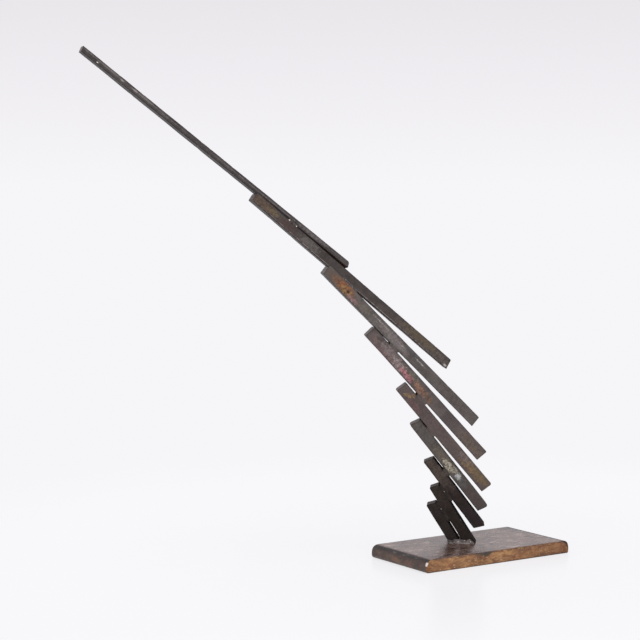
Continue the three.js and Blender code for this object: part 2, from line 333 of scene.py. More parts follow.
# Surfaces of the pieces
def bar_ring(depth, thick):
    """Cross-section of a bar: a rectangle of depth by thick whose corners are arcs of the edge radius.
    Straight sides are sampled about every RING_STEP, with an extra point close to each arc."""
    near, deep, high = BAR_EDGE, depth - BAR_EDGE, thick - BAR_EDGE
    centres = np.array([[near, near], [deep, near], [deep, high], [near, high]])
    sweep = np.linspace(0.0, 0.5 * np.pi, ARC_POINTS)
    arcs = []
    for centre, start in zip(centres, (np.pi, 1.5 * np.pi, 0.0, 0.5 * np.pi)):
        arcs.append(centre + BAR_EDGE * np.stack([np.cos(start + sweep), np.sin(start + sweep)], -1))
    parts = []
    for arc, next_arc in zip(arcs, arcs[1:] + arcs[:1]):
        side = next_arc[0] - arc[-1]
        span = np.linalg.norm(side)
        inner = np.linspace(0, 1, int(span / RING_STEP) + 1)[1:-1]
        t = np.concatenate([[RING_GUARD / span], inner, [1 - RING_GUARD / span]])
        parts += [arc, arc[-1] + side * t[:, None]]
    return np.concatenate(parts)


def bar_surface(index):
    """One flat bar: its rounded cross-section carried from the top cut to the low cut, closed by flat ends.
    Each end is a leaning plane x = z tan(cut) with worn corners. The faces wave and the long edges have
    nicks. Smooth steps then draw the front of the top end forward, let down and lean the lower face, swell
    the upper face and hang the back of the low end, and the upper face is dressed down to stay under the
    bar above."""
    bar, place = BARS[index], PLACES[index]
    depth, thick, length = bar["depth"], bar["thick"], place.length
    inset, share, set_back = closing_rows(END_RINGS, BAR_EDGE, ARC_POINTS)
    straight = np.linspace(0, 1, int(length / ROW_STEP) + 1)
    straight[[0, -1]] = ROW_GUARD, 1 - ROW_GUARD
    plain = np.zeros(len(straight))
    inset = there_and_back(inset, plain)[:, None, None]
    share = there_and_back(share, plain + 1)[:, None, None]
    middle = np.array([depth, thick]) / 2
    section = middle + (bar_ring(depth, thick) - middle) * (1 - inset / middle) * share
    y, z = section[..., 0], section[..., 1]
    low_cut = 90 - bar["slope"] if bar["low_cut"] is None else bar["low_cut"]
    top = z * math.tan(math.radians(bar["top_cut"])) - bar["top_add"]
    top = top + corner_cut(z, bar["top_round"]) + corner_cut(thick - z, bar["ease"])
    end = z * math.tan(math.radians(low_cut)) - corner_cut(thick - z, bar["low_round"])
    end = end + length + bar["low_add"]
    n = len(set_back)
    x = top + BAR_EDGE
    x[:n] = top[:n] + set_back[:, None]
    x[n:-n] += (end - top - 2 * BAR_EDGE)[n:-n] * straight[:, None]
    x[-n:] = end[-n:] - set_back[::-1, None]

    # Distance to the nearest edge, and nicks that differ between the four long edges
    sides = [np.minimum(y, depth - y), np.minimum(z, thick - z), np.minimum(x - top, end - x)]
    edge = np.sort(np.stack(sides), axis=0)[1]
    seed = 40 + 7 * index
    which_edge = np.sign(y - depth / 2) * 31.0 + np.sign(z - thick / 2) * 57.0
    nick = smooth((ripple(x, which_edge, seed + 3, NICK_SPACING) - 0.75) / 0.6)
    nick = NICK_DEPTH * nick * np.exp(-(edge / NICK_REACH) ** 2)
    nick = nick * smooth(np.minimum(x, length - x) / NICK_FREE_END)

    back, up = y / depth, z / thick
    y2 = y + (2 * back - 1) * (WAVE_FRONT * ripple(x, 2 * z, seed, WAVE_LENGTH) - nick)
    z2 = z + (2 * up - 1) * (WAVE_FACE * ripple(x, 2 * y, seed + 1, WAVE_LENGTH) - nick)
    y2 = y2 - bar["lip"] * smooth(1 - x / LIP_REACH) * (1 - back)
    z2 = z2 + (bar["roll"] * x / length * (2 * back - 1) - bar["drop"]) * smooth(1 - up)
    z2 = z2 + bar["head"] * smooth(1 - x / bar["reach"]) * up
    z2 = z2 - bar["twist"] * smooth(1 - (length - x) / TWIST_REACH) * back
    if index + 1 < len(BARS):
        above = PLACES[index + 1]
        roof = place.ceiling(x, y2, above) - CLEARANCE - BARS[index + 1]["drop"]
        behind = (place.world(np.stack([x, y2, z2], -1)) - above.origin) @ above.away
        z2 = np.where(behind > -LIP_GAP, np.minimum(z2, roof), z2)
    grid = place.world(np.stack([x, y2, z2], -1))
    return closed_piece(bar["name"] + "_forged", grid, place=np.stack([x, y, z], -1) * MM, edge=edge * MM)


def seam_surface(name, index, start, stop, more):
    """Weld metal in a seam: a block that spans from one bar's face to the other's, rounded at both ends.
    Its front and back widen over the edges of both bars and are swelled by the ripple marks left along the
    weld."""
    place, above, bar = PLACES[index], PLACES[index + 1], BARS[index]
    t = np.linspace(-SEAM_END, SEAM_END, SEAM_ROWS)[:, None]
    around = np.linspace(0, 2 * np.pi, SEAM_COLUMNS, endpoint=False)[None]
    rounded = (1 - np.abs(t) ** 5) ** 0.4
    wide, tall = squarish(around, SEAM_SQUARE)
    first = start - more * smooth(wide + 0.5)
    x = (first + stop) / 2 + (stop - first) / 2 * t
    ridges = SEAM_RIDGE * np.cos(2 * np.pi * x / SEAM_RIDGE_PITCH + 0.6 * tall)
    ridges = ridges + SEAM_UNEVEN * ripple(x, 3 * tall, 90 + index, SEAM_UNEVEN_LENGTH)
    half = bar["depth"] / 2
    y = half + wide * (half + SEAM_PROUD + ridges) * (0.8 + 0.2 * rounded)
    flare = SEAM_BITE + SEAM_FLARE * smooth((np.abs(y - half) - half + 1.0) / 0.8) * rounded
    low = bar["thick"] - flare
    high = place.ceiling(x, y, above) + flare
    z = low + (high - low) * (0.5 + 0.5 * tall * rounded)
    local = np.stack([x, y, z], -1)
    return closed_piece(name + "_metal", place.world(local), place=local * MM)


def bead_surface(name, index, start, stop, width, proud):
    """Low bead over a closed seam: a long flat ellipsoid along the seam, swelled by weld ripples."""
    place, bar = PLACES[index], BARS[index]
    t = np.linspace(-BEAD_END, BEAD_END, BEAD_ROWS)[:, None]
    around = np.linspace(0, 2 * np.pi, BEAD_COLUMNS, endpoint=False)[None]
    taper = np.sqrt(1 - np.abs(t) ** 2.6)
    x = (start + stop) / 2 + (stop - start) / 2 * t + 0 * around
    swell = 1 + BEAD_RIDGE * np.cos(2 * np.pi * x / BEAD_RIDGE_PITCH)
    swell = swell + BEAD_UNEVEN * ripple(x, 2 * around, 120 + index, BEAD_UNEVEN_LENGTH)
    y = -proud * np.cos(around) * taper * swell
    z = bar["thick"] + BARS[index + 1]["seat"][2] / 2 + width / 2 * np.sin(around) * taper * swell
    local = np.stack([x, y, z], -1)
    return closed_piece(name + "_metal", place.world(local), place=local * MM)


def foot_surface():
    """Weld mound around the two feet: squarish rings that climb and narrow in a fillet, slimmer on the
    right, made lumpy by ripples around and up, closed by a flat underside and a top that lies inside the
    bars."""
    bar, upper, place = BARS[0], BARS[1], PLACES[0]
    slope = math.radians(bar["slope"])
    half_width = (bar["thick"] + upper["seat"][2] + upper["thick"]) / math.sin(slope) / 2
    half_depth = bar["depth"] / 2
    angle = np.linspace(0, 2 * np.pi, FOOT_COLUMNS, endpoint=False)[None]
    under, over = np.zeros(len(FOOT_UNDER_RINGS)), np.ones(len(FOOT_TOP_RINGS))
    climb = np.concatenate([under, np.linspace(0, 1, FOOT_ROWS), over])[:, None]
    share = np.concatenate([FOOT_UNDER_RINGS, np.ones(FOOT_ROWS), FOOT_TOP_RINGS])[:, None]
    spread = 1 - np.sin(0.5 * np.pi * climb)
    across, back = squarish(angle, FOOT_SQUARE)
    a, b = 30 * across, 22 * back
    lump = FOOT_LUMP * ripple(a, b + 6 * climb, 5, FOOT_LUMP_LENGTH)
    lump = lump + FOOT_KNOB * ripple(a, b, 6, FOOT_KNOB_LENGTH)
    lump = lump * smooth(climb / 0.12) * (1 - 0.5 * climb)
    crest = FOOT_HEIGHT + FOOT_UNEVEN * ripple(a, b, 8, FOOT_UNEVEN_LENGTH)
    height = crest * np.sin(0.5 * np.pi * climb ** 1.1)
    slim = 1 - FOOT_SLIM * smooth(across / 0.6)
    wide = half_width + (FOOT_PROUD + FOOT_SIDE * spread + lump) * slim
    u = wide * across * share + half_width - height / math.tan(slope)
    v = (half_depth + FOOT_PROUD + FOOT_FRONT * spread + lump) * back * share + half_depth
    local = np.stack([u, v, height], -1)
    base = np.array([FOOT[0], FOOT[1], PLATE_THICKNESS - FOOT_SINK])
    grid = base + local @ np.stack([place.right, place.away, [0.0, 0.0, 1.0]])
    return closed_piece("foot_weld_metal", grid, place=local * MM)


def plate_end(rounds):
    """Outline of one short end, from the underside up: a quarter circle, a short upright, and a quadratic
    curve to the top whose control point is the square corner."""
    upper, lower = rounds
    half = PLATE_LENGTH / 2
    turn = np.linspace(0, 0.5 * np.pi, END_ARC_POINTS)[:, None]
    t = np.linspace(0, 1, END_CURVE_POINTS)[:, None]
    low = np.hstack([half - lower * (1 - np.sin(turn)), lower * (1 - np.cos(turn))])
    rise = np.linspace(lower, PLATE_THICKNESS - upper, END_WALL_POINTS)[1:-1, None]
    wall = np.hstack([half + 0 * rise, rise])
    curve = np.hstack([half - upper * t ** 2, PLATE_THICKNESS - upper * (1 - t) ** 2])
    return np.concatenate([low, wall, curve])


def plate_profile():
    """Outline of the plate in x and z: level underside, right end, level top, left end."""
    right = plate_end(PLATE_RIGHT_ROUNDS)
    left = plate_end(PLATE_LEFT_ROUNDS)[::-1] * np.array([-1.0, 1.0])
    t = np.linspace(0, 1, PLATE_COLUMNS + 1)[1:-1, None]
    under = left[-1] + (right[0] - left[-1]) * t
    over = right[-1] + (left[0] - right[-1]) * t
    return np.concatenate([under, right, over, left])


def plate_surface():
    """Plate: its outline carried across the width, with eased edges to the two long sides, which close it.
    The long sides and ends wave slightly as sawn and rusted metal does, and the nearest corner has lost a
    chip, which is a bell curve of the distance from its middle."""
    half_size = np.array([PLATE_LENGTH, PLATE_THICKNESS]) / 2
    half_length, half_width = half_size[0], PLATE_WIDTH / 2
    inset, share, distance = closing_rows(PLATE_RINGS, PLATE_EDGE_ROUND, PLATE_ARC_POINTS)
    plain = np.zeros(2 * len(PLATE_ROWS) + 1)
    inset = there_and_back(inset, plain)[:, None, None]
    share = there_and_back(share, plain + 1)[:, None, None]
    front = np.concatenate([distance, PLATE_ROWS]) - half_width
    middle = np.array([0.0, PLATE_THICKNESS / 2])
    section = middle + (plate_profile() - middle) * (1 - inset / half_size) * share
    x, z = section[..., 0], section[..., 1]
    y = np.concatenate([front, [0.0], -front[::-1]])[:, None] + 0 * x
    lift = smooth(z / WAVE_FADE)
    side = smooth((np.abs(y) - half_width) / SIDE_WAVE_REACH + 1)
    end = smooth((np.abs(x) - half_length) / END_WAVE_REACH + 1)
    y = y + np.sign(y) * side * lift * SIDE_WAVE * (ripple(x, 2 * z, 71, SIDE_WAVE_LENGTH) - 0.6)
    x = x + np.sign(x) * end * lift * END_WAVE * (ripple(y, 2 * z, 70, END_WAVE_LENGTH) - 0.4)
    grid = np.stack([x + PLATE_SHIFT, y, z], -1)
    chip = CHIP_DEPTH * np.exp(-(((grid - CHIP) / CHIP_REACH) ** 2).sum(-1, keepdims=True))
    return closed_piece("base_plate_rusted", grid + chip * np.array([1.0, 1.0, 0.0]))


# Shader helpers
class Value:
    """One number socket of a finish; arithmetic on it adds Math nodes."""

    def __init__(self, finish, socket):
        self.finish = finish
        self.socket = socket

    def math(self, operation, first, second):
        """Math node of two numbers."""
        return self.finish.node("ShaderNodeMath", {"operation": operation}, {0: first, 1: second})

    def __add__(self, other):
        return self.math("ADD", self, other)

    def __radd__(self, other):
        return self.math("ADD", other, self)

    def __sub__(self, other):
        return self.math("SUBTRACT", self, other)

    def __rsub__(self, other):
        return self.math("SUBTRACT", other, self)

    def __mul__(self, other):
        return self.math("MULTIPLY", self, other)

    def __rmul__(self, other):
        return self.math("MULTIPLY", other, self)

    def __truediv__(self, other):
        return self.math("DIVIDE", self, other)

    def __rtruediv__(self, other):
        return self.math("DIVIDE", other, self)

    def __pow__(self, other):
        return self.math("POWER", self, other)

    def __rpow__(self, other):
        return self.math("POWER", other, self)

    def __abs__(self):
        return self.finish.node("ShaderNodeMath", {"operation": "ABSOLUTE"}, {0: self})

    def at_least(self, other):
        """The larger of this number and the other."""
        return self.math("MAXIMUM", self, other)


class Finish:
    """A procedural material, or the world, and the helpers that add nodes to it."""

    def __init__(self, name, holder=None):
        self.material = holder or bpy.data.materials.new(name)
        self.material.use_nodes = True
        self.tree = self.material.node_tree
        self.tree.nodes.clear()

    def node(self, kind, settings=None, sockets=None, out=0):
        """Adds a node: its settings first, such as a ramp's stops, then its sockets' values or links."""
        node = self.tree.nodes.new(kind)
        for key, value in (settings or {}).items():
            if key == "stops":
                ramp = node.color_ramp
                while len(ramp.elements) < len(value):
                    ramp.elements.new(1.0)
                for element, (position, colour) in zip(ramp.elements, value):
                    element.position = position
                    element.color = (*colour, 1.0)
            else:
                setattr(node, key, value)
        for key, value in (sockets or {}).items():
            if isinstance(value, Value):
                self.tree.links.new(value.socket, node.inputs[key])
            else:
                node.inputs[key].default_value = value
        return Value(self, node.outputs[out])

    def attribute(self, name, out="Fac"):
        """A value that the mesh holds for each point."""
        return self.node("ShaderNodeAttribute", {"attribute_name": name}, out=out)

    def split(self, vector):
        """The three numbers of a vector."""
        parts = self.node("ShaderNodeSeparateXYZ", sockets={0: vector})
        return [Value(self, output) for output in parts.socket.node.outputs]

    def stretch(self, vector, scale, shift=(0.0, 0.0, 0.0)):
        """A vector scaled and shifted; a small scale draws a pattern out along that axis."""
        return self.node("ShaderNodeMapping", sockets={"Vector": vector, "Scale": scale, "Location": shift})

    def noise(self, vector, scale, detail, rough, warp=0.0):
        """Cloudy noise from 0 to 1."""
        return self.node("ShaderNodeTexNoise", {"normalize": True}, {
            "Vector": vector, "Scale": scale, "Detail": detail, "Roughness": rough, "Distortion": warp})

    def cells(self, vector, scale):
        """Distance to the nearest of many scattered points."""
        return self.node("ShaderNodeTexVoronoi", {"feature": "F1"}, {"Vector": vector, "Scale": scale},
                         out="Distance")

    def ease(self, value, low, high):
        """0 below low and 1 above high, smoothly between; low may be the larger, which turns it round."""
        return self.node("ShaderNodeMapRange", {"interpolation_type": "SMOOTHSTEP"}, {
            "Value": value, "From Min": low, "From Max": high})

    def blot(self, *axes):
        """1 at a centre, 0 on an ellipse and less beyond: 1 minus ((value - centre) / reach)^2 for each
        axis, with centre and reach in mm."""
        left = 1.0
        for value, centre, reach in axes:
            off = (value - centre * MM) / (reach * MM)
            left = left - off * off
        return left

    def mix(self, factor, first, second, blend="MIX"):
        """Colour blend by a factor; colours are linear RGB triples or links."""
        sockets = {0: factor}
        for slot, colour in ((6, first), (7, second)):
            sockets[slot] = colour if isinstance(colour, Value) else (*colour, 1.0)
        return self.node("ShaderNodeMix", {"data_type": "RGBA", "blend_type": blend}, sockets, out=2)

    def bump(self, height, distance, strength):
        """Normal bent by a height."""
        return self.node("ShaderNodeBump", sockets={
            "Height": height, "Distance": distance, "Strength": strength})

    def send_out(self, shader, kind="ShaderNodeOutputMaterial"):
        """Joins a shader to the output."""
        output = self.tree.nodes.new(kind)
        self.tree.links.new(shader.socket, output.inputs["Surface"])

    def close(self, colour, roughness, metallic, normal, specular):
        """Material with one shader that takes these values."""
        self.send_out(self.node("ShaderNodeBsdfPrincipled", sockets={
            "Base Color": colour, "Roughness": roughness, "Metallic": metallic, "Normal": normal,
            "Specular IOR Level": specular}))
        return self.material


def srgb(red, green, blue):
    """Linear RGB of a colour given as 0 to 255."""
    channels = np.array([red, green, blue]) / 255.0
    linear = np.where(channels <= 0.04045, channels / 12.92, ((channels + 0.055) / 1.055) ** 2.4)
    return tuple(linear.tolist())


def scaled(colour, factor):
    """Linear RGB times a factor."""
    return tuple(factor * channel for channel in colour)


# Colours of the bars as 0 to 255: two steel tones of each
BAR_TONES = {
    "bar_1_longest": ((62, 57, 56), (90, 84, 83)),
    "bar_2": ((60, 54, 52), (84, 77, 74)),
    "bar_3": ((78, 72, 69), (104, 98, 95)),
    "bar_4": ((78, 70, 69), (102, 93, 91)),
    "bar_5": ((80, 70, 68), (99, 88, 84)),
    "bar_6": ((70, 64, 60), (92, 85, 80)),
    "bar_7": ((42, 36, 34), (58, 50, 47)),
    "bar_8": ((40, 34, 31), (57, 49, 45)),
    "bar_9_lowest": ((39, 34, 32), (56, 50, 47)),
}
# How many of the lowest bars are dull and nearly black
DULL_BARS = 3
# Rust on the underside of a bar: where it begins, where it is full, and its colour
UNDERSIDE_RUST = {"bar_1_longest": (246, 262, (118, 82, 66))}
# Patina colours
RUST = (104, 66, 48)
ORANGE = (146, 99, 69)
GOLD = (150, 122, 82)
PINK = (156, 126, 126)
PALE = (136, 129, 126)
DARK = (34, 30, 30)
# Patches on the front of each bar: x, z, reach along, reach across, first colour, second colour, strength
BAR_PATCHES = {
    "bar_1_longest": [
        (185, 3.2, 190, 0.5, (100, 94, 92), (130, 124, 121), 0.6),
        (35, 4, 22, 1.3, PALE, (106, 100, 98), 0.7),
        (80, 3.8, 20, 1.2, PALE, (108, 102, 100), 0.8),
        (19, 1.7, 1.3, 0.6, (225, 220, 215), (205, 200, 195), 1.0),
        (9, 4.3, 12, 0.9, (104, 98, 96), (126, 120, 117), 0.6),
        (158, 3, 26, 5, (60, 55, 54), (80, 74, 73), 0.8),
        (318, 3.4, 26, 2.4, (92, 85, 83), (116, 108, 106), 0.8),
        (51, 3.3, 3, 0.8, (172, 167, 163), (140, 134, 130), 0.9),
        (68, 3.4, 5, 0.9, (168, 163, 159), (138, 132, 128), 0.9),
        # Painted shadow: a dark line along bar 1's lower edge, and a darker one where it lies over the top
        # of bar 2
        (185, 0.6, 190, 0.6, (40, 36, 36), (58, 53, 52), 0.7),
        (266, 1.4, 34, 1.0, (24, 21, 21), (36, 32, 31), 0.95),
    ],
    "bar_2": [
        (10, 5, 22, 6, (84, 70, 61), (102, 86, 73), 0.9),
        (24, 5.5, 14, 2.6, (94, 82, 68), (114, 100, 76), 0.75),
        (46, 5, 14, 5, (68, 55, 52), (86, 70, 66), 0.9),
        (78, 5, 16, 5, (88, 82, 80), (110, 104, 102), 0.7),
        (120, 6, 26, 4, (60, 54, 55), (78, 71, 70), 0.6),
        (240, 6, 34, 5, (90, 79, 67), (110, 96, 78), 0.7),
        (276, 5, 12, 5, (84, 76, 72), (108, 99, 94), 0.6),
        (283, 2.2, 2.6, 1.6, (200, 194, 186), (150, 144, 138), 0.9),
        (143, 1.5, 150, 0.4, (112, 100, 98), (160, 147, 143), 0.7),
    ],
    "bar_3": [
        (8, 6, 12, 6, (100, 85, 76), (90, 78, 71), 0.9),
        (16, 9, 8, 3, (112, 98, 82), (96, 84, 74), 0.6),
        (27, 6.0, 19, 6.0, RUST, ORANGE, 0.95),
        (33, 4.4, 13, 3.6, (84, 54, 42), GOLD, 0.85),
        (43, 3.2, 9, 3, (104, 76, 72), PINK, 0.85),
        (33, 5.4, 2.2, 1.5, DARK, (60, 50, 48), 1.0),
        (58, 6, 12, 5, (98, 90, 80), (118, 111, 102), 0.7),
        # Painted sheen: the pale patch at 106 and the thin pale streaks at 86, 116 and 147
        (106, 6, 28, 5, (102, 95, 93), (132, 124, 122), 0.8),
        (86, 8, 16, 0.9, (126, 120, 117), (160, 154, 151), 0.8),
        (116, 6.5, 10, 0.6, (130, 124, 121), (170, 164, 161), 0.8),
        (134, 8.5, 15, 3, (72, 69, 70), (94, 90, 90), 0.8),
        (147, 7.5, 9, 0.8, (130, 125, 123), (168, 163, 161), 0.85),
        (210, 6, 40, 6, (80, 73, 70), (102, 94, 89), 0.6),
        (119, 0.9, 125, 0.5, (66, 60, 58), (126, 119, 116), 0.5),
    ],
    "bar_4": [
        (10, 6.5, 8, 4, (76, 64, 62), (118, 104, 97), 0.8),
        (30, 7, 18, 6, (104, 94, 91), (136, 124, 121), 0.85),
        (28, 2.4, 28, 2.2, (96, 68, 70), (132, 104, 103), 0.6),
        (48, 5.5, 13, 6, (110, 98, 96), (160, 146, 143), 0.9),
        (61, 4.5, 14, 4.0, (112, 76, 76), (186, 128, 132), 0.9),
        (67, 9.5, 12, 3, (84, 88, 78), (118, 114, 100), 0.6),
        (84, 5, 15, 5, (82, 60, 52), (148, 114, 95), 0.9),
        (98, 4.5, 9, 4, (76, 60, 52), (130, 105, 84), 0.75),
        (170, 6, 26, 8, (88, 76, 69), (110, 97, 86), 0.8),
    ],
    "bar_5": [
        (8, 4, 3.6, 2.2, (104, 84, 62), (156, 128, 92), 0.85),
        (11.5, 7.2, 3.6, 2.2, (104, 84, 62), (156, 128, 92), 0.9),
        (15, 10.4, 3.2, 2.0, (100, 80, 60), (148, 118, 84), 0.8),
        (24, 4, 13, 4, (92, 68, 68), (110, 88, 87), 0.8),
        (62, 7, 34, 7, (82, 71, 69), (99, 87, 84), 0.7),
        (110, 9, 18, 4, (100, 88, 82), (132, 119, 111), 0.7),
        (128, 8, 20, 6, (98, 82, 63), (124, 105, 76), 0.8),
        (114, 5, 14, 3, (104, 84, 66), (138, 112, 84), 0.7),
    ],
    "bar_6": [
        (18, 6, 18, 6, (78, 74, 71), (95, 90, 88), 0.8),
        (46, 6, 16, 6, (90, 82, 74), (106, 97, 87), 0.8),
        (61, 5.4, 11, 4.2, (84, 76, 65), (184, 177, 158), 0.9),
        (68, 8, 8, 3, (82, 74, 66), (160, 154, 140), 0.85),
        (77, 6.3, 4.8, 3.8, (160, 162, 160), (182, 184, 182), 1.0),
        (86, 6, 8, 5, (74, 74, 72), (100, 99, 97), 0.7),
        (106, 6, 18, 7, (72, 62, 60), (88, 76, 74), 0.7),
    ],
    "bar_7": [
        (16, 6, 30, 8, (66, 58, 53), (86, 76, 69), 0.95),
        (36, 6, 12, 6, (54, 47, 44), (70, 61, 57), 0.6),
        (78, 6, 18, 6, (44, 37, 39), (56, 46, 49), 0.6),
    ],
    "bar_8": [(10, 5, 16, 6, (46, 41, 37), (62, 54, 49), 0.8)],
    "bar_9_lowest": [(8, 5, 12, 6, (44, 40, 38), (58, 52, 49), 0.8)],
}


def steel_tones(index):
    """Dark and light steel of a bar as linear RGB."""
    return [srgb(*tone) for tone in BAR_TONES[BARS[index]["name"]]]


def bar_finish(index):
    """Dark waxed flat bar: mottled two-tone steel with mill streaks along the bar; coloured heat and rust
    patches on the front, broken up by fine grain, among them painted shadow lines on the longest bar and
    painted sheen streaks on bar 3; painted shade darkening the upper and lower faces; a painted highlight
    making the top end paler; dark edges with worn paler spots; and a fine bump."""
    bar = BARS[index]
    name = bar["name"]
    dull = index < DULL_BARS
    dark, light = steel_tones(index)
    finish = Finish(name + "_steel")
    place = finish.attribute("place", "Vector")
    along, back, across = finish.split(place)
    shift = (0.37 * index, 0.11 * index, 0.23 * index)
    body = finish.stretch(place, (1.0, 1.0, 1.0), shift)
    cloud = finish.noise(body, 55.0, 5.0, 0.6, 0.6)
    mottle = finish.noise(body, 330.0, 4.0, 0.65, 0.3)
    streak = finish.noise(finish.stretch(place, (0.12, 1.0, 1.0), shift), 420.0, 4.0, 0.6)
    grain = finish.noise(body, 900.0, 3.0, 0.6)
    tone = finish.ease(cloud * 0.55 + streak * 0.2 + mottle * 0.25, 0.35, 0.65)
    colour = finish.mix(tone, dark, light)

    front = finish.ease(back, 4.0 * MM, 0.8 * MM)
    speckle = finish.ease(grain * 0.5 + mottle * 0.5, 0.42, 0.58)
    for x, z, reach, wide, first, second, strength in BAR_PATCHES[name]:
        inside = finish.blot((along, x, reach), (across, z, wide))
        mask = finish.ease(inside + (mottle - 0.5) * 2.4 + (grain - 0.5) * 1.6, -0.1, 0.9) * front * strength
        colour = finish.mix(mask, colour, finish.mix(speckle, srgb(*first), srgb(*second)))

    behind = finish.ease(back, 0.4 * MM, 1.2 * MM)
    # Painted shade on the lower face: it turns towards a dim copy of the dark steel, and on the longest bar
    # towards rust where it lies over bar 2
    under = finish.ease(across, 1.0 * MM, 0.3 * MM) * behind
    over = finish.ease(across, (bar["thick"] - 1.0) * MM, (bar["thick"] - 0.3) * MM) * behind
    underside_shade_and_rust = scaled(dark, 0.35)
    if name in UNDERSIDE_RUST:
        clear, covered, rust = UNDERSIDE_RUST[name]
        underside_shade_and_rust = finish.mix(finish.ease(along, clear * MM, covered * MM), underside_shade_and_rust, srgb(*rust))
    colour = finish.mix(under * 0.7, colour, underside_shade_and_rust)
    # Painted shade: the upper face, in the gap under the bar above, is darkened towards a dim copy of the
    # steel
    colour = finish.mix(over * 0.2, colour, scaled(dark, 0.6))

    # Painted highlight: the top end face is paler than the steel, most on the dull bars and the top bar
    lean = math.tan(math.radians(bar["top_cut"]))
    tip = finish.ease(along - across * lean + bar["top_add"] * MM, 0.5 * MM, 0.1 * MM)
    highlight_gain = 2.2 if dull or bar is BARS[-1] else 1.3
    colour = finish.mix(tip * (0.4 + mottle * 0.6), colour, scaled(light, highlight_gain))
    rim = finish.ease(finish.attribute("edge"), 1.0 * MM, 0.25 * MM)
    worn = rim * finish.ease(finish.noise(body, 200.0, 4.0, 0.65), 0.56, 0.66)
    colour = finish.mix(rim * 0.65, colour, scaled(dark, 0.5))
    colour = finish.mix(worn * 0.4, colour, srgb(150, 142, 137))

    roughness = 0.42 + grain * 0.14 + (1.0 - tone) * 0.06
    if dull:
        roughness = roughness + over * 0.5
    metallic = (0.15 + worn * 0.5) * (1.0 - over * 0.8) * (1.0 - under * 0.8)
    normal = finish.bump(grain * 0.4 + streak * 0.35 + mottle * 0.5, 0.4 * MM, 0.35)
    return finish.close(colour, roughness, metallic, normal, specular=0.05 if dull else 0.14)


def weld_finish(name, dark, light, shine, toe=0.0, spots=(), dim=None):
    """Weld metal: mottled in the tones of the steel beside it, with bright ground flecks of strength shine.
    Toe is the strength of a paler rim at its foot, spots lists bare bright droplets as x, z and radius, and
    dim gives the two distances along x between which it turns dark."""
    finish = Finish(name)
    place = finish.attribute("place", "Vector")
    along, _, up = finish.split(place)
    cloud = finish.noise(place, 150.0, 5.0, 0.6, 0.5)
    grain = finish.noise(place, 800.0, 3.0, 0.6)
    tone = finish.ease(cloud * 0.6 + grain * 0.4, 0.38, 0.62)
    colour = finish.mix(tone, dark, light)
    bright = finish.ease(finish.cells(place, 240.0) + (grain - 0.5) * 0.3, 0.17, 0.09) * shine
    if toe:
        low = finish.ease(up, 1.6 * MM, 0.3 * MM)
        colour = finish.mix(low * tone * toe, colour, srgb(150, 142, 138))
    if dim:
        far = finish.ease(along, dim[0] * MM, dim[1] * MM)
        colour = finish.mix(far * 0.85, colour, scaled(dark, 0.5))
        bright = bright * (1.0 - far)
    for x, z, radius in spots:
        droplet = finish.blot((along, x, radius), (up, z, radius)) + (grain - 0.5) * 1.2
        bright = bright.at_least(finish.ease(droplet, 0.0, 0.5))
    colour = finish.mix(bright, colour, srgb(206, 196, 188))
    roughness = 0.5 - bright * 0.15 + grain * 0.1
    normal = finish.bump(grain * 0.5 + cloud, 0.5 * MM, 0.45)
    return finish.close(colour, roughness, 0.2 + bright * 0.4, normal, specular=0.15)


def seam_finish(name, lower, spots=()):
    """Weld finish in the mean tones of the two bars it joins."""
    tones = np.array([steel_tones(lower), steel_tones(lower + 1)])
    dark, light = tones.mean(0).tolist()
    return weld_finish(name + "_finish", dark, light, shine=0.5, spots=spots)


def foot_finish():
    """Foot weld: grey and well ground, with a pale rim on the plate, and dark on its right."""
    dark, light = srgb(42, 38, 36), srgb(116, 109, 106)
    return weld_finish("weld_foot", dark, light, shine=1.0, toe=0.9, dim=(25.0, 28.5))


def plate_top(finish, cloud, streak, wiggle):
    """Colour of the top: satin mauve grey, mottled along its length, with pale and dark runs."""
    tone = finish.ease(cloud * 0.35 + streak * 0.4 + wiggle * 0.25, 0.40, 0.60)
    colour = finish.mix(tone, srgb(74, 54, 47), srgb(122, 98, 88))
    colour = finish.mix(finish.ease(wiggle, 0.56, 0.64) * 0.7, colour, srgb(172, 154, 145))
    return finish.mix(finish.ease(wiggle, 0.44, 0.37) * 0.85, colour, srgb(42, 31, 28))


